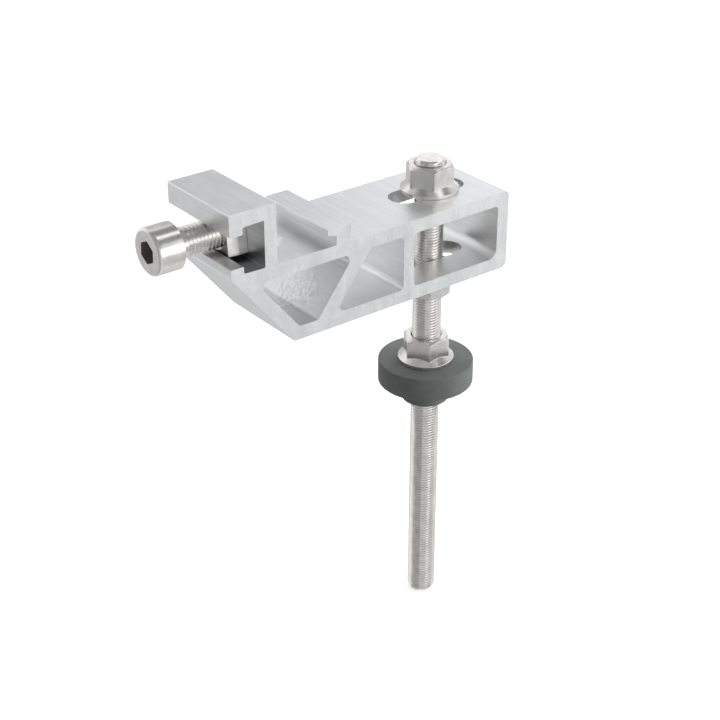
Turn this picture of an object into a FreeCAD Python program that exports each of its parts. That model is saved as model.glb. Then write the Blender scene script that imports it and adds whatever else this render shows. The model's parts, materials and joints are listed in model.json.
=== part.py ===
import FreeCAD, Part

import math
import os

# Solar hanger bolt: a threaded stud with a rubber roof seal, and an extruded arm
# clamped between two flange nuts near its top. Millimetres, +Z up.
# The origin is on the stud's axis, at the roof surface that the seal lies on.
# The arm runs along X, with the rail seat on the -X side, and is extruded along Y.

Vector = FreeCAD.Vector
X_AXIS = Vector(1, 0, 0)
Y_AXIS = Vector(0, 1, 0)
Z_AXIS = Vector(0, 0, 1)

# Threaded stud
STUD_DIAMETER = 12.0
STUD_LENGTH = 207.0
STUD_PROUD = 2.1            # stands above the top nut
STUD_TOP_CHAMFER = 0.7      # radial
STUD_TOP_TAPER = 1.2        # axial
STUD_TIP_CHAMFER = 1.0      # radial
STUD_TIP_TAPER = 1.8        # axial
STUD_PITCH = 1.25
THREAD_DEPTH = 0.6          # of the pitch
THREAD_CREST = 0.14         # of the pitch
THREAD_CLEARANCE = 0.05     # radial, between each thread and its nut or seal

# Rubber seal
SEAL_DIAMETER = 40.0
SEAL_THICKNESS = 10.0
SEAL_EDGE_ROUND = 0.8
SEAL_BOSS_DIAMETER = 20.0
SEAL_BOSS_HEIGHT = 8.5
SEAL_BOSS_ROUND = 0.6

# Flange nuts, all three alike
NUT_ACROSS_FLATS = 17.6
NUT_HEIGHT = 11.5
NUT_CORNER_ROUND = 0.6
NUT_END_BEVEL = 0.3         # radial, at the flats
NUT_BEVEL_ANGLE = 40.0
NUT_COUNTERSINK = 0.6
FLANGE_DIAMETER = 23.5
FLANGE_RIM = 1.4
FLANGE_SLOPE = 36.0
TOP_NUT_TURN = 0.5          # degrees from +X to a corner
UNDER_NUT_TURN = 58.0
SEAL_NUT_TURN = 59.7

# Bracket: overall
ARM_TOP = 86.0              # top of the arm and of the rail seat, above the roof
PROFILE_LENGTH = 40.0       # cut length of the extrusion
ARM_HEIGHT = 33.5
ARM_END_REACH = 24.5        # from the stud's axis to the free end
SEAT_REACH = 87.65          # from the stud's axis to the channel's web
EDGE_ROUND = 0.6
ARM_END_TOP_ROUND = 2.2
ARM_END_FOOT_ROUND = 2.8

# Bracket: hooked channel
CHANNEL_ROOF = 5.5
CHANNEL_FLOOR = 0.1         # above the rail seat
CHANNEL_TAPER = 0.3         # the roof and floor close in by this towards the hooks
CHANNEL_NUT_GAP = 0.45      # above and below the square nut
HOOK_NUT_GAP = 0.7          # from the square nut to the hooks
WEB_THICKNESS = 5.3
HOOK_THICKNESS = 5.6
MOUTH_GAP = 0.4             # between the cap screw and each hook
CHANNEL_CORNER_ROUND = 0.4  # at the foot of the web, less than the gap beside the nut
ELBOW_ROUND = 3.5

# Bracket: rail seat, jaw and tooth
SEAT_WIDTH = 26.6
SEAT_FILLET = 1.5
TOOTH_UNDERSIDE = 7.5       # above the seat
TOOTH_HEIGHT = 2.5
TOOTH_REACH = 1.9
TOOTH_SLANT = 0.3
JAW_THICKNESS = 6.8
JAW_HEIGHT = 7.2
JAW_LIP_REACH = 4.0
JAW_LIP_EDGE = 2.4
JAW_LIP_SLANT = 1.0

# Bracket: leg and chambers
LEG_TOE_REACH = 80.95       # from the stud's axis to the leg's foot
LEG_ANGLE = 50.9            # degrees below the horizontal
LEG_WALL = 5.4
ARM_WALL = 5.5
END_WALL = 5.5
DIVIDER = 5.0
RIB_THICKNESS = 6.0
RIB_ANGLE = 52.5
END_CHAMBER_WIDTH = 42.95
LEG_CHAMBER_FOOT = 8.6      # between the leg's wall and the slanted rib
TOE_ROUND = 1.0
CHAMBER_ROUND = 1.8
CHAMBER_ACUTE_ROUND = 2.5
END_CHAMBER_FOOT_ROUND = 4.0

# Bracket: slots for the stud
SLOT_SIDE_GAP = 0.5
SLOT_TRAVEL_IN = 12.85      # the stud's travel towards the seat
SLOT_TRAVEL_OUT = 9.35      # the stud's travel towards the free end

# Cap screw
CAP_THREAD_DIAMETER = 11.4
CAP_LENGTH = 25.0
CAP_TIP_CHAMFER = 0.9
CAP_TIP_GAP = 1.0           # from the screw's tip to the web
CAP_HEAD_DIAMETER = 17.9
CAP_HEAD_HEIGHT = 10.7
CAP_HEAD_ROUND = 1.2
SOCKET_ACROSS_FLATS = 8.0
SOCKET_DEPTH = 5.5
SOCKET_TURN = 4.0           # degrees from straight down to a corner

# Square nut
CLAMP_SHIFT = -0.5          # of the nut and its screw, along the channel from its middle
SQUARE_NUT_SIZE = 16.2
SQUARE_NUT_THICKNESS = 8.4
SQUARE_NUT_ROUND = 1.5
SQUARE_NUT_COUNTERSINK = 0.6
SQUARE_NUT_TURN = 6.0       # degrees askew in the channel, with its front lower corner raised

# Places worked out from the sizes above
ARM_BOTTOM = ARM_TOP - ARM_HEIGHT
STUD_TOP = ARM_TOP + NUT_HEIGHT + STUD_PROUD
NUT_SKEW = math.radians(SQUARE_NUT_TURN)
NUT_CORE = SQUARE_NUT_SIZE - 2 * SQUARE_NUT_ROUND
NUT_STAND = NUT_CORE * (math.cos(NUT_SKEW) + math.sin(NUT_SKEW)) + 2 * SQUARE_NUT_ROUND
CAVITY_HEIGHT = NUT_STAND + 2 * CHANNEL_NUT_GAP
CHANNEL_WIDTH = HOOK_THICKNESS + HOOK_NUT_GAP + SQUARE_NUT_THICKNESS + WEB_THICKNESS
CAVITY_FLOOR = ARM_TOP + CHANNEL_FLOOR
SCREW_HEIGHT = CAVITY_FLOOR + CAVITY_HEIGHT / 2
WEB_INSIDE = -SEAT_REACH - WEB_THICKNESS
CUT_MARGIN = 1.0            # how far a cutting tool runs past the faces it cuts


def rounded_face(corners, across, up):
    """Face in the plane of across and up, from (u, v, radius) corners that are rounded by arcs."""
    points = [across * u + up * v for u, v, radius in corners]
    stretches = []
    for i, here in enumerate(points):
        back = (points[i - 1] - here).normalize()
        ahead = (points[(i + 1) % len(points)] - here).normalize()
        inward = (back + ahead).normalize()
        half_angle = back.getAngle(ahead) / 2
        radius = corners[i][2]
        run = radius / math.tan(half_angle)
        crown = here + inward * (radius / math.sin(half_angle) - radius)
        stretches.append((here + back * run, crown, here + ahead * run, radius))
    edges = []
    for i, (start, crown, end, radius) in enumerate(stretches):
        if radius:
            edges.append(Part.Arc(start, crown, end).toShape())
        edges.append(Part.makeLine(end, stretches[(i + 1) % len(stretches)][0]))
    return Part.Face(Part.Wire(edges))


def turned(corners):
    """Solid of revolution about Z, from (r, z, radius) corners."""
    return rounded_face(corners, X_AXIS, Z_AXIS).revolve(Vector(), Z_AXIS, 360)


def prism(sides, across_flats, height, corner_round):
    """Upright prism on z = 0 with a corner on +X and rounded upright edges."""
    corner_radius = across_flats / 2 / math.cos(math.pi / sides)
    corners = []
    for i in range(sides):
        turn = 2 * math.pi * i / sides
        corners.append((corner_radius * math.cos(turn), corner_radius * math.sin(turn), corner_round))
    return rounded_face(corners, X_AXIS, Y_AXIS).extrude(Z_AXIS * height)


def cone_cut(radius, height, flare):
    """Countersink tool that opens upwards from radius to radius + flare at the given height."""
    depth = flare + CUT_MARGIN
    tool = Part.makeCone(radius - CUT_MARGIN, radius + flare + CUT_MARGIN, depth + CUT_MARGIN)
    tool.translate(Z_AXIS * (height - depth))
    return tool


def laid_in_channel(solid, start):
    """Turns a solid from the Z axis to the clamp's axis, with its z = 0 end at the given x."""
    solid.rotate(Vector(), Y_AXIS, 90)
    solid.translate(Vector(start, CLAMP_SHIFT, SCREW_HEIGHT))
    return solid


def stud_limit(height):
    """Radius that the stud's chamfered ends leave at a height."""
    bottom = STUD_TOP - STUD_LENGTH
    into_top = max(0, height - STUD_TOP + STUD_TOP_TAPER) / STUD_TOP_TAPER
    into_tip = max(0, bottom + STUD_TIP_TAPER - height) / STUD_TIP_TAPER
    return STUD_DIAMETER / 2 - into_top * STUD_TOP_CHAMFER - into_tip * STUD_TIP_CHAMFER


def threaded_stud():
    """Rod with its fine thread as level rings, one a pitch, and chamfered ends."""
    crest = STUD_DIAMETER / 2
    root = crest - THREAD_DEPTH * STUD_PITCH
    bottom = STUD_TOP - STUD_LENGTH
    rings = int(STUD_LENGTH / STUD_PITCH)
    first = bottom + (STUD_LENGTH - rings * STUD_PITCH) / 2
    form = [
        (0, root),
        ((1 - THREAD_CREST) / 2, crest),
        ((1 + THREAD_CREST) / 2, crest),
    ]
    levels = [(bottom, crest)]
    for i in range(rings):
        levels += [(first + STUD_PITCH * (i + share), radius) for share, radius in form]
    levels += [(first + STUD_PITCH * rings, root), (STUD_TOP, crest)]
    points = [Z_AXIS * bottom]
    points += [Vector(min(radius, stud_limit(height)), 0, height) for height, radius in levels]
    points += [Z_AXIS * STUD_TOP, Z_AXIS * bottom]
    return Part.Face(Part.makePolygon(points)).revolve(Vector(), Z_AXIS, 360)


def rubber_seal():
    """Disc that lies on the roof, with a boss below it that fills the roof's hole."""
    bore = STUD_DIAMETER / 2 + THREAD_CLEARANCE
    return turned([
        (bore, -SEAL_BOSS_HEIGHT, 0),
        (SEAL_BOSS_DIAMETER / 2, -SEAL_BOSS_HEIGHT, SEAL_BOSS_ROUND),
        (SEAL_BOSS_DIAMETER / 2, 0, 0),
        (SEAL_DIAMETER / 2, 0, SEAL_EDGE_ROUND),
        (SEAL_DIAMETER / 2, SEAL_THICKNESS, SEAL_EDGE_ROUND),
        (bore, SEAL_THICKNESS, 0),
    ])


def flange_nut():
    """Hexagon nut with a conical flange, standing on its flange at z = 0."""
    bore = STUD_DIAMETER / 2 + THREAD_CLEARANCE
    flange_radius = FLANGE_DIAMETER / 2
    core_radius = NUT_ACROSS_FLATS / 2
    cone_rise = (flange_radius - core_radius) * math.tan(math.radians(FLANGE_SLOPE))
    flange = turned([
        (0, 0, 0),
        (flange_radius, 0, FLANGE_RIM / 3),
        (flange_radius, FLANGE_RIM, FLANGE_RIM / 3),
        (core_radius, FLANGE_RIM + cone_rise, 0),
        (0, FLANGE_RIM + cone_rise, 0),
    ])
    bevel_radius = core_radius - NUT_END_BEVEL
    bevel_drop = (flange_radius - bevel_radius) * math.tan(math.radians(NUT_BEVEL_ANGLE))
    envelope = turned([
        (0, 0, 0),
        (flange_radius, 0, 0),
        (flange_radius, NUT_HEIGHT - bevel_drop, 0),
        (bevel_radius, NUT_HEIGHT, 0),
        (0, NUT_HEIGHT, 0),
    ])
    hexagon = prism(6, NUT_ACROSS_FLATS, NUT_HEIGHT, NUT_CORNER_ROUND)
    nut = hexagon.common(envelope).fuse(flange)
    hole = Part.makeCylinder(bore, NUT_HEIGHT + 2 * CUT_MARGIN, Z_AXIS * -CUT_MARGIN)
    top_sink = cone_cut(bore, NUT_HEIGHT, NUT_COUNTERSINK)
    foot_sink = cone_cut(bore, 0, NUT_COUNTERSINK).mirror(Vector(), Z_AXIS)
    return nut.cut([hole, top_sink, foot_sink]).removeSplitter()


def placed_nut(height, turn, upside_down):
    """Flange nut on the stud, with its flange at the given height."""
    nut = flange_nut()
    if upside_down:
        nut.rotate(Vector(), X_AXIS, 180)
    nut.rotate(Vector(), Z_AXIS, turn)
    nut.translate(Z_AXIS * height)
    return nut


def bracket_outline():
    """Outside of the profile, anticlockwise from the leg's toe."""
    leg_slope = math.tan(math.radians(LEG_ANGLE))
    channel_left = -SEAT_REACH - CHANNEL_WIDTH
    elbow_height = ARM_BOTTOM - (channel_left + LEG_TOE_REACH) * leg_slope
    cavity_roof = CAVITY_FLOOR + CAVITY_HEIGHT
    channel_top = cavity_roof + CHANNEL_ROOF
    half_mouth = CAP_THREAD_DIAMETER / 2 + MOUTH_GAP
    hook_inside = channel_left + HOOK_THICKNESS
    jaw_face = -SEAT_REACH + SEAT_WIDTH
    jaw_top = ARM_TOP + JAW_HEIGHT
    lip_underside = jaw_top - JAW_LIP_EDGE
    tooth_low = ARM_TOP + TOOTH_UNDERSIDE
    tooth_tip = -SEAT_REACH + TOOTH_REACH
    return [
        (-LEG_TOE_REACH, ARM_BOTTOM, TOE_ROUND),
        (ARM_END_REACH, ARM_BOTTOM, ARM_END_FOOT_ROUND),
        (ARM_END_REACH, ARM_TOP, ARM_END_TOP_ROUND),
        (jaw_face + JAW_THICKNESS, ARM_TOP, 0),
        (jaw_face + JAW_THICKNESS, jaw_top, EDGE_ROUND),
        (jaw_face - JAW_LIP_REACH, jaw_top, EDGE_ROUND),
        (jaw_face - JAW_LIP_REACH, lip_underside, EDGE_ROUND),
        (jaw_face, lip_underside - JAW_LIP_SLANT, 0),
        (jaw_face, ARM_TOP, 0),
        (-SEAT_REACH, ARM_TOP, SEAT_FILLET),
        (-SEAT_REACH, tooth_low - TOOTH_SLANT, 0),
        (tooth_tip, tooth_low, 0),
        (tooth_tip, tooth_low + TOOTH_HEIGHT, 0),
        (-SEAT_REACH, tooth_low + TOOTH_HEIGHT, 0),
        (-SEAT_REACH, channel_top, EDGE_ROUND),
        (channel_left, channel_top, EDGE_ROUND),
        (channel_left, SCREW_HEIGHT + half_mouth, EDGE_ROUND),
        (hook_inside, SCREW_HEIGHT + half_mouth, EDGE_ROUND),
        (hook_inside, cavity_roof - CHANNEL_TAPER, EDGE_ROUND),
        (WEB_INSIDE, cavity_roof, CHANNEL_CORNER_ROUND),
        (WEB_INSIDE, CAVITY_FLOOR, CHANNEL_CORNER_ROUND),
        (hook_inside, CAVITY_FLOOR + CHANNEL_TAPER, EDGE_ROUND),
        (hook_inside, SCREW_HEIGHT - half_mouth, EDGE_ROUND),
        (channel_left, SCREW_HEIGHT - half_mouth, EDGE_ROUND),
        (channel_left, elbow_height, ELBOW_ROUND),
    ]


def chamber_outlines():
    """The arm's three hollow chambers, from the leg to the free end."""
    top = ARM_TOP - ARM_WALL
    foot = ARM_BOTTOM + ARM_WALL
    leg_slope = math.tan(math.radians(LEG_ANGLE))
    rib_slope = math.tan(math.radians(RIB_ANGLE))
    leg_inside = -LEG_TOE_REACH + LEG_WALL / math.sin(math.radians(LEG_ANGLE))
    leg_foot = leg_inside - ARM_WALL / leg_slope
    leg_top = leg_foot - (top - foot) / leg_slope
    rib_foot = leg_foot + LEG_CHAMBER_FOOT
    rib_top = rib_foot + (top - foot) / rib_slope
    rib_width = RIB_THICKNESS / math.sin(math.radians(RIB_ANGLE))
    end_right = ARM_END_REACH - END_WALL
    end_left = end_right - END_CHAMBER_WIDTH
    middle_right = end_left - DIVIDER
    leg_chamber = [
        (leg_foot, foot, CHAMBER_ROUND),
        (rib_foot, foot, CHAMBER_ROUND),
        (rib_top, top, CHAMBER_ACUTE_ROUND),
        (leg_top, top, CHAMBER_ACUTE_ROUND),
    ]
    middle_chamber = [
        (rib_foot + rib_width, foot, CHAMBER_ACUTE_ROUND),
        (middle_right, foot, CHAMBER_ROUND),
        (middle_right, top, CHAMBER_ROUND),
        (rib_top + rib_width, top, CHAMBER_ROUND),
    ]
    end_chamber = [
        (end_left, foot, CHAMBER_ROUND),
        (end_right, foot, END_CHAMBER_FOOT_ROUND),
        (end_right, top, CHAMBER_ROUND),
        (end_left, top, CHAMBER_ROUND),
    ]
    return [leg_chamber, middle_chamber, end_chamber]


def stud_slot():
    """Tool that cuts the same slot through the arm's top and bottom walls."""
    radius = STUD_DIAMETER / 2 + SLOT_SIDE_GAP
    travel = SLOT_TRAVEL_IN + SLOT_TRAVEL_OUT
    height = ARM_HEIGHT + 2 * CUT_MARGIN
    seat_end = Part.makeCylinder(radius, height)
    free_end = Part.makeCylinder(radius, height, X_AXIS * travel)
    middle = Part.makeBox(travel, 2 * radius, height, Y_AXIS * -radius)
    tool = middle.fuse([seat_end, free_end]).removeSplitter()
    tool.translate(Vector(-SLOT_TRAVEL_IN, 0, ARM_BOTTOM - CUT_MARGIN))
    return tool


def bracket():
    """The extruded profile, cut to length, with the stud's slots."""
    run = Y_AXIS * PROFILE_LENGTH
    body = rounded_face(bracket_outline(), X_AXIS, Z_AXIS).extrude(run)
    for corners in chamber_outlines():
        body = body.cut(rounded_face(corners, X_AXIS, Z_AXIS).extrude(run))
    body.translate(run * -0.5)
    return body.cut(stud_slot())


def cap_screw():
    """Socket head cap screw across the channel's mouth, with its head to the left."""
    head_radius = CAP_HEAD_DIAMETER / 2
    thread_radius = CAP_THREAD_DIAMETER / 2
    overall = CAP_HEAD_HEIGHT + CAP_LENGTH
    screw = turned([
        (0, 0, 0),
        (head_radius, 0, CAP_HEAD_ROUND),
        (head_radius, CAP_HEAD_HEIGHT, 0),
        (thread_radius, CAP_HEAD_HEIGHT, 0),
        (thread_radius, overall - CAP_TIP_CHAMFER, 0),
        (thread_radius - CAP_TIP_CHAMFER, overall, 0),
        (0, overall, 0),
    ])
    socket = prism(6, SOCKET_ACROSS_FLATS, SOCKET_DEPTH + CUT_MARGIN, 0)
    socket.rotate(Vector(), Z_AXIS, SOCKET_TURN)
    socket.translate(Z_AXIS * -CUT_MARGIN)
    return laid_in_channel(screw.cut(socket), WEB_INSIDE - CAP_TIP_GAP - overall)


def square_nut():
    """Square nut in the channel, flat against the web."""
    bore = CAP_THREAD_DIAMETER / 2 + THREAD_CLEARANCE
    nut = prism(4, SQUARE_NUT_SIZE, SQUARE_NUT_THICKNESS, SQUARE_NUT_ROUND)
    nut.rotate(Vector(), Z_AXIS, 45 - SQUARE_NUT_TURN)
    hole = Part.makeCylinder(bore, SQUARE_NUT_THICKNESS + 2 * CUT_MARGIN, Z_AXIS * -CUT_MARGIN)
    web_sink = cone_cut(bore, SQUARE_NUT_THICKNESS, SQUARE_NUT_COUNTERSINK)
    hook_sink = cone_cut(bore, 0, SQUARE_NUT_COUNTERSINK).mirror(Vector(), Z_AXIS)
    return laid_in_channel(nut.cut([hole, web_sink, hook_sink]), WEB_INSIDE - SQUARE_NUT_THICKNESS)


PIECES = {
    "bracket": bracket(),
    "threaded_stud": threaded_stud(),
    "top_flange_nut": placed_nut(ARM_TOP, TOP_NUT_TURN, False),
    "under_flange_nut": placed_nut(ARM_BOTTOM, UNDER_NUT_TURN, True),
    "seal_flange_nut": placed_nut(SEAL_THICKNESS, SEAL_NUT_TURN, False),
    "rubber_seal": rubber_seal(),
    "cap_screw": cap_screw(),
    "square_nut": square_nut(),
}

os.makedirs("parts", exist_ok=True)
for name, shape in PIECES.items():
    shape.exportStep("parts/" + name + ".step")
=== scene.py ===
import json
import math

import bmesh
import bpy
from mathutils import Matrix, Vector


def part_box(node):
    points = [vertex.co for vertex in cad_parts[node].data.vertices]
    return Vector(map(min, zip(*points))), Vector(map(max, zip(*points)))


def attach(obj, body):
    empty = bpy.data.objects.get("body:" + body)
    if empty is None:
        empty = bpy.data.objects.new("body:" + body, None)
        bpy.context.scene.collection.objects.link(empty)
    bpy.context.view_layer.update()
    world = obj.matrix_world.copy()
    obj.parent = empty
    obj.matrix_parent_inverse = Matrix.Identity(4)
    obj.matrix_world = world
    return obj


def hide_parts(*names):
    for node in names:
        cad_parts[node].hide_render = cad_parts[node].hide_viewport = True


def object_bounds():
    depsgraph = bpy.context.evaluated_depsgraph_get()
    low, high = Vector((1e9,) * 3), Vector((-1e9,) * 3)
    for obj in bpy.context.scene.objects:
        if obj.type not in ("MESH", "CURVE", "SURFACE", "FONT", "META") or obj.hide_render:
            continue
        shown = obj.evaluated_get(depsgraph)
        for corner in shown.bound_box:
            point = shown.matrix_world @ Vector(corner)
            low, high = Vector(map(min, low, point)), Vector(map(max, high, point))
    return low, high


# Solar hanger bolt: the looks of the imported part. Metres, +Z up, in the part's own frame.
# Every piece is built from the sizes below and laid where its node lies.

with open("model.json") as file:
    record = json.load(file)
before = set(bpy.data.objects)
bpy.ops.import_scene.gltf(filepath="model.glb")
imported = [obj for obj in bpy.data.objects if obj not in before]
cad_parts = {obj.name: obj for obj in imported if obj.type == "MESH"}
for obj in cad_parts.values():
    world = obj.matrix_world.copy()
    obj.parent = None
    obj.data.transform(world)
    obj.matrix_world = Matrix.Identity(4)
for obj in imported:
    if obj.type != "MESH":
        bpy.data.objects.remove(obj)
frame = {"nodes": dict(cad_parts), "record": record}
cad_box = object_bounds()
nodes = frame["nodes"]

MM = 0.001

# Camera, as it stood for the photograph. Blender takes the lens and the sensor in millimetres.
CAMERA_PLACE = Vector((-382.25, -448.69, 332.44)) * MM
CAMERA_AZIMUTH = -37.75         # degrees, as the elevation
CAMERA_ELEVATION = 28.81
CAMERA_LENS = 80
CAMERA_SENSOR = 36
CAMERA_NEAREST = 0.01
CAMERA_FARTHEST = 20

# Threads: a metric form with blunt crests, rounded more on their upper side
STUD_PITCH = 1.25 * MM
CAP_PITCH = 1.62 * MM
THREAD_DEPTH = 0.6              # of the pitch
THREAD_SIDES = 48
THREAD_FORM = (                 # one turn: share of the pitch, share of the depth
    (0.00, 0.06),
    (0.06, 0.00),
    (0.16, 0.00),
    (0.22, 0.06),
    (0.50, 0.93),
    (0.55, 1.00),
    (0.60, 1.00),
    (0.68, 0.955),
    (0.745, 0.87),
)

# Threaded stud
STUD_RADIUS = 6.0 * MM
STUD_TOP_CHAMFER = 0.7 * MM
STUD_TOP_TAPER = 1.2 * MM
STUD_TIP_CHAMFER = 1.0 * MM
STUD_TIP_TAPER = 1.8 * MM

# Flange nuts
NUT_ACROSS_FLATS = 17.6 * MM
NUT_HEIGHT = 11.5 * MM
NUT_CORNER_ROUND = 0.6 * MM
NUT_END_BEVEL = 0.3 * MM
NUT_BEVEL_SLOPE = math.tan(math.radians(40))
FLANGE_RADIUS = 11.75 * MM
FLANGE_RIM = 1.4 * MM
FLANGE_SLOPE = math.tan(math.radians(36))
NUT_BORE = 6.05 * MM
NUT_SINK = 0.6 * MM
NUT_SIDES = 144
TOP_NUT_TURN = 0.5              # degrees round the stud, as the next two
UNDER_NUT_TURN = 58.0
SEAL_NUT_TURN = 59.7

# Cap screw, from the face of its head
CAP_HEAD_RADIUS = 8.95 * MM
CAP_HEAD_HEIGHT = 10.7 * MM
CAP_HEAD_ROUND = 1.2 * MM
CAP_THREAD_RADIUS = 5.7 * MM
CAP_NECK = 3.4 * MM
CAP_NECK_STEP = 0.25 * MM       # of the neck's start over its end
CAP_FILLET = 0.9 * MM
CAP_RUNOUT = 0.3 * MM           # of the thread inside the neck
CAP_TIP_CHAMFER = 0.9 * MM
CAP_SIDES = 144
CAP_HEAD_STEPS = 6
CAP_FILLET_STEPS = 5
SOCKET_ACROSS_FLATS = 8.0 * MM
SOCKET_DEPTH = 5.5 * MM
SOCKET_TURN = 4.0               # degrees
SOCKET_ROUND = 0.15 * MM
SOCKET_EDGE = 0.12 * MM
SOCKET_SHADE_START = 0.15 * MM   # depth at which the socket's painted shade begins
SOCKET_SHADE_REACH = 0.57 * SOCKET_ACROSS_FLATS

# Square nut
SQUARE_SIZE = 16.2 * MM
SQUARE_ROUND = 0.5 * MM
SQUARE_TURN = 6.0               # degrees
SQUARE_TAPER = 0.28 * MM        # of each side towards the hooks
SQUARE_TAPER_LENGTH = 4.4 * MM
SQUARE_BORE = 5.75 * MM
SQUARE_SINK = 0.6 * MM
SQUARE_SIDES = 160

# Rubber seal
SEAL_BOSS_RADIUS = 10.0 * MM
SEAL_SIDES = 160

# Softened edges
SAWN_EDGE = 0.28 * MM           # at the bracket's cut faces
METAL_EDGE = 0.25 * MM
RUBBER_EDGE = 0.6 * MM
RUN_SHARE = 0.45                # of a run, the most that an arc at its end may take
SHARP_ANGLE = 30                # degrees between two faces that aren't shaded as one
THREAD_SHARP_ANGLE = 50
SAME_POINT = 0.002 * MM
FLAT_ANGLE = math.radians(0.6)
SAWN_FACE = 0.999               # least part of its normal along Y


def make_camera():
    azimuth = math.radians(CAMERA_AZIMUTH)
    elevation = math.radians(CAMERA_ELEVATION)
    back = Vector((
        math.sin(azimuth) * math.cos(elevation),
        -math.cos(azimuth) * math.cos(elevation),
        math.sin(elevation),
    ))
    data = bpy.data.cameras.new("camera")
    data.lens = CAMERA_LENS
    data.sensor_width = CAMERA_SENSOR
    data.clip_start = CAMERA_NEAREST
    data.clip_end = CAMERA_FARTHEST
    camera = bpy.data.objects.new("camera", data)
    camera.location = CAMERA_PLACE
    camera.rotation_mode = "QUATERNION"
    camera.rotation_quaternion = (-back).to_track_quat("-Z", "Y")
    bpy.context.scene.collection.objects.link(camera)
    bpy.context.scene.camera = camera


# ---------------------------------------------------------------- mesh helpers

def new_piece(name, bm, body, node, looks, sharp_angle=SHARP_ANGLE):
    """Makes a piece of a finished bmesh, shaded smooth up to the sharp angle, in place of its node.
    Its flats keep their own normals, so only the narrow faces between them are shaded round."""
    bmesh.ops.recalc_face_normals(bm, faces=bm.faces)
    mesh = bpy.data.meshes.new(name)
    bm.to_mesh(mesh)
    bm.free()
    mesh.shade_smooth()
    mesh.set_sharp_from_angle(angle=math.radians(sharp_angle))
    piece = bpy.data.objects.new(name, mesh)
    bpy.context.scene.collection.objects.link(piece)
    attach(piece, body)
    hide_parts(node)
    for look in looks:
        mesh.materials.append(LOOKS[look])
    flats = piece.modifiers.new("flats", "WEIGHTED_NORMAL")
    flats.keep_sharp = True


def softened(corners, radius, steps=3):
    """(r, z) corners with each inner corner turned into a short arc, kept within its two runs."""
    points = [corners[0]]
    for back, here, ahead in zip(corners, corners[1:], corners[2:]):
        here_v = Vector(here)
        to_back = Vector(back) - here_v
        to_ahead = Vector(ahead) - here_v
        half_angle = to_back.angle(to_ahead) / 2
        run = min(
            radius / math.tan(half_angle),
            to_back.length * RUN_SHARE,
            to_ahead.length * RUN_SHARE,
        )
        start = here_v + to_back.normalized() * run
        end = here_v + to_ahead.normalized() * run
        for i in range(steps + 1):
            t = i / steps
            point = start * (1 - t) ** 2 + here_v * 2 * t * (1 - t) + end * t ** 2
            points.append((point.x, point.y))
    points.append(corners[-1])
    return points


def quarter_turn(steps):
    """(1 - sine, 1 - cosine) of evenly spaced angles from 0 to 90 degrees."""
    angles = [math.pi / 2 * i / steps for i in range(steps + 1)]
    return [(1 - math.sin(a), 1 - math.cos(a)) for a in angles]


def spun(profile_at, sides, closed=False):
    """A skin whose (r, z) profile at each angle comes from profile_at(angle).
    A first or last point on the axis is capped with a fan, and a closed profile joins up."""
    bm = bmesh.new()
    columns = []
    for j in range(sides):
        angle = 2 * math.pi * j / sides
        column = []
        for r, z in profile_at(angle):
            column.append(bm.verts.new((r * math.cos(angle), r * math.sin(angle), z)))
        columns.append(column)
    rows = len(columns[0])
    for j, column in enumerate(columns):
        other = columns[(j + 1) % sides]
        for k in range(rows if closed else rows - 1):
            up = (k + 1) % rows
            bm.faces.new((column[k], other[k], other[up], column[up]))
    bmesh.ops.remove_doubles(bm, verts=bm.verts, dist=SAME_POINT)
    return bm


def flat_sided(angle, across_flats, corner_round, sides=6):
    """Radius of a prism with rounded corners at an angle from one of its corners."""
    half = math.pi / sides
    off = (angle + half) % (2 * half) - half        # from the nearest corner
    from_flat = half - abs(off)                     # from the middle of the flat
    flat_radius = across_flats / 2 / math.cos(from_flat)
    centre = (across_flats / 2 - corner_round) / math.cos(half)
    inside = corner_round ** 2 - (centre * math.sin(off)) ** 2
    if inside <= 0:
        return flat_radius
    return min(flat_radius, centre * math.cos(off) + math.sqrt(inside))


def threaded(bottom, top, radius, pitch, envelope):
    """A closed right-hand thread between two heights. envelope(z) is the largest radius there.
    The helix starts a turn below and ends a turn above, and is pressed flat at both heights."""
    bm = bmesh.new()
    depth = THREAD_DEPTH * pitch
    form = [(share, radius - depth * (1 - rise)) for share, rise in THREAD_FORM]
    turns = math.ceil((top - bottom) / pitch) + 2
    rows = [(turn + share, r) for turn in range(-1, turns) for share, r in form]
    columns = []
    for j in range(THREAD_SIDES):
        share = j / THREAD_SIDES
        angle = 2 * math.pi * share
        column = []
        for along, r in rows:
            z = bottom + pitch * (along + share)
            z = min(max(z, bottom), top)
            r = min(r, envelope(z))
            column.append(bm.verts.new((r * math.cos(angle), r * math.sin(angle), z)))
        columns.append(column)
    for j, column in enumerate(columns):
        last = j == THREAD_SIDES - 1
        other = columns[0] if last else columns[j + 1]
        shift = len(form) if last else 0            # the first column, a turn further up
        for k in range(len(rows) - 1 - shift):
            corners = (column[k], other[k + shift], other[k + 1 + shift], column[k + 1])
            heights = {round(v.co.z / SAME_POINT) for v in corners}
            if len(heights) > 1:
                bm.faces.new(corners)
    bmesh.ops.remove_doubles(bm, verts=bm.verts, dist=SAME_POINT)
    loose = [v for v in bm.verts if not v.link_faces]
    bmesh.ops.delete(bm, geom=loose, context="VERTS")
    rims = [e for e in bm.edges if e.is_boundary]
    bmesh.ops.holes_fill(bm, edges=rims, sides=0)
    return bm


# ---------------------------------------------------------------- pieces

def make_stud():
    low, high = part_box("threaded_stud")

    def envelope(z):
        top_share = max(0.0, (z - high.z + STUD_TOP_TAPER) / STUD_TOP_TAPER)
        tip_share = max(0.0, (low.z + STUD_TIP_TAPER - z) / STUD_TIP_TAPER)
        return STUD_RADIUS - top_share * STUD_TOP_CHAMFER - tip_share * STUD_TIP_CHAMFER

    bm = threaded(low.z, high.z, STUD_RADIUS, STUD_PITCH, envelope)
    new_piece(
        "stud_thread", bm, "stud", "threaded_stud", ["rolled"], THREAD_SHARP_ANGLE)


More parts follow.
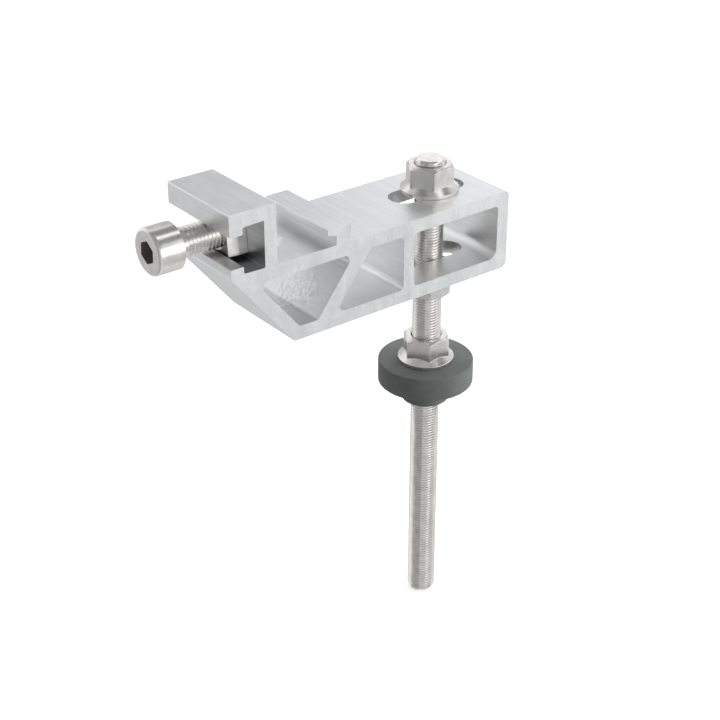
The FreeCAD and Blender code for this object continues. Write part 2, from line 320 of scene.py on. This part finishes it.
def make_flange_nut(name, body, node, turn, upside_down):
    low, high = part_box(node)
    bevel_radius = NUT_ACROSS_FLATS / 2 - NUT_END_BEVEL

    def profile(angle):
        wall = flat_sided(angle, NUT_ACROSS_FLATS, NUT_CORNER_ROUND)
        shoulder = NUT_HEIGHT - (wall - bevel_radius) * NUT_BEVEL_SLOPE
        foot = FLANGE_RIM + (FLANGE_RADIUS - wall) * FLANGE_SLOPE
        corners = [
            (NUT_BORE, NUT_HEIGHT / 2),
            (NUT_BORE, NUT_HEIGHT - NUT_SINK),
            (NUT_BORE + NUT_SINK, NUT_HEIGHT),
            (bevel_radius, NUT_HEIGHT),
            (wall, shoulder),
            (wall, foot),
            (FLANGE_RADIUS, FLANGE_RIM),
            (FLANGE_RADIUS, 0),
            (NUT_BORE + NUT_SINK, 0),
            (NUT_BORE, NUT_SINK),
            (NUT_BORE, NUT_HEIGHT / 2),
        ]
        return softened(corners, METAL_EDGE)[:-1]

    bm = spun(profile, NUT_SIDES, closed=True)
    if upside_down:
        bm.transform(Matrix.Rotation(math.pi, 4, "X"))
    bm.transform(Matrix.Rotation(math.radians(turn), 4, "Z"))
    seat = high.z if upside_down else low.z
    bm.transform(Matrix.Translation((0, 0, seat)))
    new_piece(name, bm, body, node, ["stainless"])


def make_seal():
    low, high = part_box("rubber_seal")
    corners = [
        (NUT_BORE, low.z / 2),
        (NUT_BORE, low.z),
        (SEAL_BOSS_RADIUS, low.z),
        (SEAL_BOSS_RADIUS, 0),
        (high.x, 0),
        (high.x, high.z),
        (NUT_BORE, high.z),
        (NUT_BORE, low.z / 2),
    ]
    profile = softened(corners, RUBBER_EDGE, steps=5)[:-1]
    bm = spun(lambda angle: profile, SEAL_SIDES, closed=True)
    new_piece("seal_rubber", bm, "seal", "rubber_seal", ["rubber"])


def lay_in_channel(bm, node):
    """Turns a mesh from the Z axis to the clamp's axis, its z = 0 end at the node's lowest x."""
    low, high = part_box(node)
    middle = (low + high) / 2
    bm.transform(Matrix.Rotation(math.pi / 2, 4, "Y"))
    bm.transform(Matrix.Translation((low.x, middle.y, middle.z)))


def make_cap_screw():
    low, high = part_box("cap_screw")
    overall = high.x - low.x
    neck_end = CAP_HEAD_HEIGHT + CAP_NECK
    neck_radius = CAP_THREAD_RADIUS + CAP_NECK_STEP
    turn = math.radians(SOCKET_TURN)
    shoulder = [
        (CAP_HEAD_RADIUS - CAP_HEAD_ROUND * inward, CAP_HEAD_ROUND * back)
        for inward, back in quarter_turn(CAP_HEAD_STEPS)
    ]
    rear = softened([
        (CAP_HEAD_RADIUS, CAP_HEAD_ROUND * 2),
        (CAP_HEAD_RADIUS, CAP_HEAD_HEIGHT),
        (neck_radius + CAP_FILLET, CAP_HEAD_HEIGHT),
    ], METAL_EDGE)
    neck = [
        (neck_radius + CAP_FILLET * outward, CAP_HEAD_HEIGHT + CAP_FILLET * back)
        for outward, back in quarter_turn(CAP_FILLET_STEPS)
    ]
    neck += [(CAP_THREAD_RADIUS, neck_end), (0, neck_end)]

    def profile(angle):
        socket = flat_sided(angle - turn, SOCKET_ACROSS_FLATS, SOCKET_ROUND)
        head = softened([
            (0, SOCKET_DEPTH),
            (socket, SOCKET_DEPTH),
            (socket, 0),
            (CAP_HEAD_RADIUS - CAP_HEAD_ROUND, 0),
        ], SOCKET_EDGE, steps=2)
        return head[:-1] + shoulder + rear[:-1] + neck

    bm = spun(profile, CAP_SIDES)
    # The socket's walls take the second look: darker, as painted shade in the deep recess.
    for face in bm.faces:
        middle = face.calc_center_median()
        inside = middle.xy.length < SOCKET_SHADE_REACH
        if inside and SOCKET_SHADE_START < middle.z < CAP_HEAD_HEIGHT:
            face.material_index = 1
    lay_in_channel(bm, "cap_screw")
    new_piece("cap_head", bm, "clamp_screw", "cap_screw", ["turned", "socket"])

    def envelope(z):
        share = max(0.0, (z - overall + CAP_TIP_CHAMFER) / CAP_TIP_CHAMFER)
        runout = CAP_RUNOUT if z < neck_end else 0
        return CAP_THREAD_RADIUS - share * CAP_TIP_CHAMFER - runout

    bm = threaded(neck_end - CAP_RUNOUT, overall, CAP_THREAD_RADIUS, CAP_PITCH, envelope)
    lay_in_channel(bm, "cap_screw")
    new_piece(
        "cap_thread", bm, "clamp_screw", "cap_screw", ["stainless"],
        THREAD_SHARP_ANGLE)


def make_square_nut():
    low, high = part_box("square_nut")
    thickness = high.x - low.x
    turn = math.radians(45 - SQUARE_TURN)           # flat_sided counts from a corner
    narrowing = 1 - 2 * SQUARE_TAPER / SQUARE_SIZE

    def profile(angle):
        wall = flat_sided(angle - turn, SQUARE_SIZE, SQUARE_ROUND, sides=4)
        corners = [
            (SQUARE_BORE, thickness / 2),
            (SQUARE_BORE, thickness - SQUARE_SINK),
            (SQUARE_BORE + SQUARE_SINK, thickness),
            (wall, thickness),
            (wall, SQUARE_TAPER_LENGTH),
            (wall * narrowing, 0),
            (SQUARE_BORE + SQUARE_SINK, 0),
            (SQUARE_BORE, SQUARE_SINK),
            (SQUARE_BORE, thickness / 2),
        ]
        return softened(corners, METAL_EDGE)[:-1]

    bm = spun(profile, SQUARE_SIDES, closed=True)
    lay_in_channel(bm, "square_nut")
    new_piece("square_nut_steel", bm, "channel_nut", "square_nut", ["stainless"])


def make_bracket():
    """The node's own solid with its triangles merged into flats and its sawn edges softened."""
    bm = bmesh.new()
    bm.from_mesh(nodes["bracket"].data)
    bmesh.ops.remove_doubles(bm, verts=bm.verts, dist=SAME_POINT)
    bmesh.ops.dissolve_limit(bm, angle_limit=FLAT_ANGLE, verts=bm.verts, edges=bm.edges)
    sawn = [
        e for e in bm.edges
        if len(e.link_faces) == 2
        and sum(abs(f.normal.y) > SAWN_FACE for f in e.link_faces) == 1
    ]
    edges = bmesh.ops.bevel(
        bm, geom=sawn, offset=SAWN_EDGE, segments=2, profile=0.5, affect="EDGES",
        clamp_overlap=True)
    # The bevels take the second look, a painted highlight along the sawn edges.
    for face in edges["faces"]:
        face.material_index = 1
    new_piece(
        "bracket_extrusion", bm, "arm", "bracket", ["aluminium", "painted_highlight_edge"])


# ---------------------------------------------------------------- materials

# Colours that follow a noise: each stop has its place on the noise, and its colour
MILL_CLOUDS = (
    (0.32, (0.77, 0.78, 0.795)),
    (0.52, (0.84, 0.85, 0.86)),
    (0.70, (0.93, 0.935, 0.94)),
)
MILL_STREAKS = ((0.35, (0.75, 0.76, 0.77)), (0.65, (0.945, 0.95, 0.955)))
SAWN_SPECKLE = ((0.36, (0.76, 0.77, 0.785)), (0.64, (0.95, 0.955, 0.96)))
SAWN_SMEARS = (
    (0.36, (0.75, 0.76, 0.77)),
    (0.52, (0.855, 0.86, 0.865)),
    (0.66, (0.97, 0.975, 0.98)),
)
LEG_STAINS = ((0.38, (0.57, 0.585, 0.60)), (0.62, (0.985, 0.99, 0.995)))
# Darker streaks, painted shade on the screw channel's walls
CHANNEL_PAINTED_SHADE = ((0.35, (0.45, 0.46, 0.475)), (0.65, (0.58, 0.59, 0.605)))
# Lighter metal: a painted highlight on the sawn edges and painted light on the chamber floors.
PAINTED_LIGHT_METAL = ((0.35, (0.93, 0.935, 0.94)), (0.65, (0.985, 0.99, 0.995)))
RUBBER_CLOUDS = ((0.35, (0.126, 0.133, 0.131)), (0.65, (0.153, 0.16, 0.158)))
STEEL_MOTTLE = ((0.35, (0.745, 0.731, 0.715)), (0.65, (0.845, 0.83, 0.813)))
# Where speckled stains are thickest, on the inner wall of the leg
STAIN_CENTRE = Vector((-68, -2, 62)) * MM
STAIN_REACH = 16 * MM
STAIN_CORE = 0.4 * STAIN_REACH
# The screw channel's walls are darker, as painted shade, and the floors of the middle and end
# chambers lighter, as painted light
CHANNEL_SHADE_BOX = (Vector((-101.6, -21, 85.9)) * MM, Vector((-92.4, 21, 104.8)) * MM)
CELL_FLOOR_LIGHT_BOX = (Vector((-56, -21, 57.5)) * MM, Vector((19, 21, 60.5)) * MM)
# Least part of the normal along Y where a surface has the sawn look
SAWN_LOOK = 0.9


class Nodes:
    """Short names for adding and joining a material's nodes."""

    def __init__(self, name):
        self.material = bpy.data.materials.new(name)
        self.material.use_nodes = True
        self.tree = self.material.node_tree
        self.shader = self.tree.nodes["Principled BSDF"]

    def add(self, kind, **values):
        node = self.tree.nodes.new(kind)
        for key, value in values.items():
            setattr(node, key, value)
        return node

    def join(self, start, end):
        """Feeds an input from a node's output, or sets it to a plain number."""
        if isinstance(start, (int, float)):
            end.default_value = start
        else:
            self.tree.links.new(start, end)

    def noise(self, scale, detail=4.0, stretch=(1, 1, 1), roughness=0.5, distortion=0.0):
        """Noise from 0 to 1 in the part's own frame, its scale in features per metre."""
        place = self.add("ShaderNodeTexCoord")
        mapping = self.add("ShaderNodeMapping")
        mapping.inputs["Scale"].default_value = stretch
        self.join(place.outputs["Object"], mapping.inputs["Vector"])
        noise = self.add("ShaderNodeTexNoise")
        noise.inputs["Scale"].default_value = scale
        noise.inputs["Detail"].default_value = detail
        noise.inputs["Roughness"].default_value = roughness
        noise.inputs["Distortion"].default_value = distortion
        self.join(mapping.outputs["Vector"], noise.inputs["Vector"])
        return noise.outputs["Fac"]

    def ramp(self, value, stops):
        ramp = self.add("ShaderNodeValToRGB")
        elements = ramp.color_ramp.elements
        while len(elements) < len(stops):
            elements.new(0.5)
        for element, (position, colour) in zip(elements, stops):
            element.position = position
            element.color = (*colour, 1)
        self.join(value, ramp.inputs["Fac"])
        return ramp.outputs["Color"]

    def span(self, value, low, high):
        """A value from 0 to 1 carried over to the span from low to high."""
        span = self.add("ShaderNodeMapRange")
        span.inputs["To Min"].default_value = low
        span.inputs["To Max"].default_value = high
        self.join(value, span.inputs["Value"])
        return span.outputs["Result"]

    def blend(self, a, b, share):
        """Colours a to b by a share that is a number or varies over the surface."""
        mix = self.add("ShaderNodeMix", data_type="RGBA")
        self.join(share, mix.inputs["Factor"])
        self.join(a, mix.inputs["A"])
        self.join(b, mix.inputs["B"])
        return mix.outputs["Result"]

    def maths(self, operation, a, b=0):
        """Math on a varying value and another value or plain number."""
        node = self.add("ShaderNodeMath", operation=operation)
        self.join(a, node.inputs[0])
        self.join(b, node.inputs[1])
        return node.outputs["Value"]

    def sawn(self):
        """1 on faces across the Y axis, where the extrusion was cut, and 0 on the others."""
        place = self.add("ShaderNodeTexCoord")
        parts = self.add("ShaderNodeSeparateXYZ")
        self.join(place.outputs["Normal"], parts.inputs[0])
        return self.maths("GREATER_THAN", self.maths("ABSOLUTE", parts.outputs["Y"]), SAWN_LOOK)

    def near(self, centre, inner, outer):
        """1 within the inner distance of a point, fading to 0 at the outer one."""
        place = self.add("ShaderNodeTexCoord")
        gap = self.add("ShaderNodeVectorMath", operation="DISTANCE")
        self.join(place.outputs["Object"], gap.inputs[0])
        gap.inputs[1].default_value = centre
        fade = self.add("ShaderNodeMapRange")
        fade.inputs["From Min"].default_value = inner
        fade.inputs["From Max"].default_value = outer
        fade.inputs["To Min"].default_value = 1
        fade.inputs["To Max"].default_value = 0
        self.join(gap.outputs["Value"], fade.inputs["Value"])
        return fade.outputs["Result"]

    def within(self, low, high):
        """1 inside a box of the object's own space and 0 outside."""
        place = self.add("ShaderNodeTexCoord")
        parts = self.add("ShaderNodeSeparateXYZ")
        self.join(place.outputs["Object"], parts.inputs[0])
        inside = 1
        for axis, least, most in zip("XYZ", low, high):
            above = self.maths("GREATER_THAN", parts.outputs[axis], least)
            below = self.maths("LESS_THAN", parts.outputs[axis], most)
            inside = self.maths("MULTIPLY", self.maths("MULTIPLY", above, below), inside)
        return inside

    def bump(self, height, strength, distance, under=None):
        bump = self.add("ShaderNodeBump")
        bump.inputs["Strength"].default_value = strength
        bump.inputs["Distance"].default_value = distance
        self.join(height, bump.inputs["Height"])
        if under:
            self.join(under, bump.inputs["Normal"])
        return bump.outputs["Normal"]


def aluminium():
    """Mill finish: streaks along the extrusion, speckle and smears on the sawn faces, stains in
    the leg's chamber, painted shade in the screw channel and painted light on the chamber floors."""
    n = Nodes("mill_aluminium")
    clouds = n.noise(90, detail=5, stretch=(1, 0.55, 1), roughness=0.6, distortion=0.4)
    streaks = n.noise(900, detail=3, stretch=(1, 0.03, 1), roughness=0.6)
    speckle = n.noise(620, detail=5, stretch=(1, 1, 0.6), roughness=0.72, distortion=0.5)
    smears = n.noise(110, detail=5, stretch=(1, 1, 0.45), roughness=0.65, distortion=0.8)
    extruded = n.blend(n.ramp(clouds, MILL_CLOUDS), n.ramp(streaks, MILL_STREAKS), share=0.35)
    cut = n.blend(n.ramp(smears, SAWN_SMEARS), n.ramp(speckle, SAWN_SPECKLE), share=0.4)
    sawn = n.sawn()
    surface = n.blend(extruded, cut, sawn)
    walls = n.maths("LESS_THAN", sawn, 0.5)         # 1 on what isn't sawn
    # Painted shade on the channel's walls and painted light on the chamber floors
    for stops, box in ((CHANNEL_PAINTED_SHADE, CHANNEL_SHADE_BOX), (PAINTED_LIGHT_METAL, CELL_FLOOR_LIGHT_BOX)):
        share = n.maths("MULTIPLY", walls, n.within(*box))
        surface = n.blend(surface, n.ramp(streaks, stops), share)
    patches = n.span(smears, low=0.2, high=1.3)
    stained = n.maths("MULTIPLY", n.near(STAIN_CENTRE, STAIN_CORE, STAIN_REACH), patches)
    surface = n.blend(surface, n.ramp(speckle, LEG_STAINS), stained)
    n.join(surface, n.shader.inputs["Base Color"])
    n.shader.inputs["Metallic"].default_value = 1
    n.join(n.span(clouds, low=0.30, high=0.46), n.shader.inputs["Roughness"])
    grain = n.bump(streaks, strength=0.12, distance=0.05 * MM)
    dents = n.bump(clouds, strength=0.05, distance=0.2 * MM, under=grain)
    n.join(dents, n.shader.inputs["Normal"])
    return n.material


def painted_highlight_edge():
    """The saw's thin edge, in a lighter colour than the faces as a painted highlight."""
    n = Nodes("sawn_edge_painted_highlight")
    wear = n.noise(500, detail=3)
    n.join(n.ramp(wear, PAINTED_LIGHT_METAL), n.shader.inputs["Base Color"])
    n.shader.inputs["Metallic"].default_value = 1
    n.join(n.span(wear, low=0.45, high=0.6), n.shader.inputs["Roughness"])
    return n.material


def stainless(name, roughness, brightness=1.0):
    """Satin stainless steel with a fine mottle, rougher or smoother by how it was made; a
    brightness below 1 darkens it as painted shade.
    """
    n = Nodes(name)
    mottle = n.noise(260, detail=4, roughness=0.6)
    grain = n.noise(1800, detail=3)
    stops = [(place, [brightness * c for c in colour]) for place, colour in STEEL_MOTTLE]
    n.join(n.ramp(mottle, stops), n.shader.inputs["Base Color"])
    n.shader.inputs["Metallic"].default_value = 1
    n.join(n.span(mottle, *roughness), n.shader.inputs["Roughness"])
    n.join(n.bump(grain, strength=0.08, distance=0.03 * MM), n.shader.inputs["Normal"])
    return n.material


def rubber():
    """Matt dark grey with faint clouds and a fine moulded grain."""
    n = Nodes("seal_rubber")
    clouds = n.noise(120, detail=4)
    grain = n.noise(2200, detail=2)
    n.join(n.ramp(clouds, RUBBER_CLOUDS), n.shader.inputs["Base Color"])
    n.join(n.span(grain, low=0.6, high=0.75), n.shader.inputs["Roughness"])
    n.join(n.bump(grain, strength=0.25, distance=0.06 * MM), n.shader.inputs["Normal"])
    return n.material


# ---------------------------------------------------------------- floor, light and background

WHITE = (1, 1, 1, 1)
BLACK = (0, 0, 0, 1)
FLOOR_SIZE = 6
FLOOR_DROP = 0.3 * MM
FLOOR_GREY = 0.5
FLOOR_LIFT = 0.68               # white that the camera sees on top of the floor's own shade
WORLD_LIGHT = 0.28              # what the room gives to matt surfaces
SOFTBOX_DISTANCE = 1.5
SOFTBOXES = [                   # name, degrees round from +X, degrees up, side, watts
    ("key", -45, 12, 1.2, 25),
    ("back", 15, 30, 1.1, 10),
    ("top", 60, 70, 1.2, 16),
]
CARD_DISTANCE = 0.9
CARD_COLUMNS = 24
CARD_ROWS = 12
CARDS = [                       # name, degrees round from +X, degrees up, grey
    ("left_low", (118, 150), (-75, -8), 0.56),
    ("left_dark", (150, 214), (-75, -8), 0.46),
    ("left_front", (214, 250), (-75, 32), 0.74),
    ("left_back", (118, 142), (-8, 46), 0.98),
    ("left_back_upper", (104, 142), (46, 64), 0.62),
    ("left_high", (142, 214), (-8, 64), 0.38),
    ("left_high_front", (214, 250), (32, 64), 0.40),
    ("front_left", (250, 292), (-75, -2), 0.77),
    ("front", (-68, -49), (-75, -8), 0.58),
    ("front_right", (-49, -30), (-75, -8), 0.90),
    ("front_bright", (-94, -66), (-2, 26), 2.5),
    ("front_band", (-66, -46), (-6, 24), 1.35),
    ("front_upper", (-66, -46), (24, 43), 1.25),
    ("front_high", (-46, -10), (12, 38), 1.25),
    ("high_front_left", (-110, -66), (30, 64), 0.38),
    ("high_front", (-66, -46), (43, 64), 0.28),
    ("high_front_right", (-46, -10), (38, 64), 0.28),
    ("right_low", (-30, 38), (-75, -5), 0.77),
    ("right_side", (-10, 28), (-5, 45), 0.78),
    ("right_high", (28, 52), (-5, 45), 1.08),
    ("back_foot", (38, 80), (-75, -34), 0.64),
    ("back_under", (38, 64), (-34, -5), 1.5),
    ("back_dim", (64, 84), (-34, -5), 0.52),
    ("back_high", (57, 90), (-5, 48), 0.60),
    ("back_left_foot", (80, 118), (-75, -34), 0.72),
    ("back_left_under", (84, 118), (-34, -5), 1.0),
    ("back_left", (90, 118), (-5, 46), 1.05),
    ("right_upper", (-10, 58), (48, 64), 0.35),
    ("high_strip", (-52, -14), (64, 76), 1.7),
    ("high_ring", (-14, 308), (64, 76), 0.245),
    ("overhead_left", (70, 190), (76, 90), 0.245),
    ("overhead_right", (-170, 70), (76, 90), 0.45),
]


def direction(azimuth, elevation):
    """Unit vector from degrees round from +X and degrees up."""
    a = math.radians(azimuth)
    e = math.radians(elevation)
    return Vector((math.cos(a) * math.cos(e), math.sin(a) * math.cos(e), math.sin(e)))


def seen_directly(tree):
    """1 for the camera's own rays and for those of mirrors and glass, 0 for the light that falls
    on matt surfaces."""
    path = tree.nodes.new("ShaderNodeLightPath")
    value = path.outputs["Is Camera Ray"]
    for ray in ("Is Glossy Ray", "Is Transmission Ray"):
        either = tree.nodes.new("ShaderNodeMath")
        either.operation = "MAXIMUM"
        tree.links.new(value, either.inputs[0])
        tree.links.new(path.outputs[ray], either.inputs[1])
        value = either.outputs[0]
    return value


def make_floor():
    """A matt floor just under the part. Reflections don't show it: they show the cards instead."""
    mesh = bpy.data.meshes.new("floor")
    half = FLOOR_SIZE / 2
    level = cad_box[0].z - FLOOR_DROP
    square = ((-half, -half), (half, -half), (half, half), (-half, half))
    mesh.from_pydata([(x, y, level) for x, y in square], [], [(0, 1, 2, 3)])
    floor = bpy.data.objects.new("floor", mesh)
    floor.visible_glossy = False
    bpy.context.scene.collection.objects.link(floor)
    material = bpy.data.materials.new("floor")
    material.use_nodes = True
    tree = material.node_tree
    shader = tree.nodes["Principled BSDF"]
    shader.inputs["Base Color"].default_value = (FLOOR_GREY, FLOOR_GREY, FLOOR_GREY, 1)
    shader.inputs["Roughness"].default_value = 1
    shader.inputs["Specular IOR Level"].default_value = 0
    shader.inputs["Emission Color"].default_value = WHITE
    lift = tree.nodes.new("ShaderNodeMath")
    lift.operation = "MULTIPLY"
    lift.inputs[1].default_value = FLOOR_LIFT
    tree.links.new(seen_directly(tree), lift.inputs[0])
    tree.links.new(lift.outputs[0], shader.inputs["Emission Strength"])
    mesh.materials.append(material)


def make_world():
    """White where it is seen or mirrored, and a soft even light for what is matt."""
    world = bpy.data.worlds.new("world")
    world.use_nodes = True
    bpy.context.scene.world = world
    tree = world.node_tree
    background = tree.nodes["Background"]
    background.inputs["Color"].default_value = WHITE
    strength = tree.nodes.new("ShaderNodeMapRange")
    strength.inputs["To Min"].default_value = WORLD_LIGHT
    strength.inputs["To Max"].default_value = 1
    tree.links.new(seen_directly(tree), strength.inputs["Value"])
    tree.links.new(strength.outputs["Result"], background.inputs["Strength"])


def make_softbox(name, azimuth, elevation, size, power):
    """A square lamp that faces the object. Reflections don't show it."""
    data = bpy.data.lights.new(name, "AREA")
    data.size = size
    data.energy = power
    lamp = bpy.data.objects.new(name, data)
    towards = direction(azimuth, elevation)
    lamp.location = towards * SOFTBOX_DISTANCE
    lamp.rotation_mode = "QUATERNION"
    lamp.rotation_quaternion = (-towards).to_track_quat("-Z", "Y")
    lamp.visible_glossy = False
    bpy.context.scene.collection.objects.link(lamp)


def make_card(name, azimuths, elevations, grey):
    """A curved grey card round the object that only reflections see, as a photographer stands one
    beside the lens."""
    points = []
    for i in range(CARD_COLUMNS + 1):
        for j in range(CARD_ROWS + 1):
            azimuth = azimuths[0] + (azimuths[1] - azimuths[0]) * i / CARD_COLUMNS
            elevation = elevations[0] + (elevations[1] - elevations[0]) * j / CARD_ROWS
            points.append(direction(azimuth, elevation) * CARD_DISTANCE)
    column = CARD_ROWS + 1          # points in one column
    faces = []
    for i in range(CARD_COLUMNS):
        for j in range(CARD_ROWS):
            a = i * column + j
            faces.append((a, a + 1, a + column + 1, a + column))
    mesh = bpy.data.meshes.new(name)
    mesh.from_pydata(points, [], faces)
    card = bpy.data.objects.new(name, mesh)
    card.visible_camera = False
    card.visible_diffuse = False
    card.visible_shadow = False
    card.visible_transmission = False
    bpy.context.scene.collection.objects.link(card)
    material = bpy.data.materials.new(name)
    material.use_nodes = True
    shader = material.node_tree.nodes["Principled BSDF"]
    shader.inputs["Base Color"].default_value = BLACK
    shader.inputs["Specular IOR Level"].default_value = 0
    shader.inputs["Emission Color"].default_value = (grey, grey, grey, 1)
    shader.inputs["Emission Strength"].default_value = 1
    mesh.materials.append(material)


# ---------------------------------------------------------------- the scene

make_camera()
LOOKS = {
    "aluminium": aluminium(),
    "painted_highlight_edge": painted_highlight_edge(),
    "stainless": stainless("satin_stainless", roughness=(0.18, 0.32)),
    "rolled": stainless("rolled_stainless", roughness=(0.14, 0.22)),
    "turned": stainless("turned_stainless", roughness=(0.19, 0.29)),
    # The socket's look is half as bright, as painted shade in the deep recess, and rougher.
    "socket": stainless("painted_shade_socket", roughness=(0.45, 0.60), brightness=0.50),
    "rubber": rubber(),
}
make_stud()
make_flange_nut("top_nut_steel", "top_nut", "top_flange_nut", TOP_NUT_TURN, False)
make_flange_nut("under_nut_steel", "under_nut", "under_flange_nut", UNDER_NUT_TURN, True)
make_flange_nut("seal_nut_steel", "seal_nut", "seal_flange_nut", SEAL_NUT_TURN, False)
make_seal()
make_cap_screw()
make_square_nut()
make_bracket()
slots = {s["node"]: s["material_slot"] for s in frame["record"]["subparts"]}
for name, node in nodes.items():
    node.data.materials.clear()
    node.data.materials.append(LOOKS[slots[name]])

make_floor()
make_world()
for softbox in SOFTBOXES:
    make_softbox(*softbox)
for card in CARDS:
    make_card(*card)
bpy.context.scene.view_settings.view_transform = "Standard"
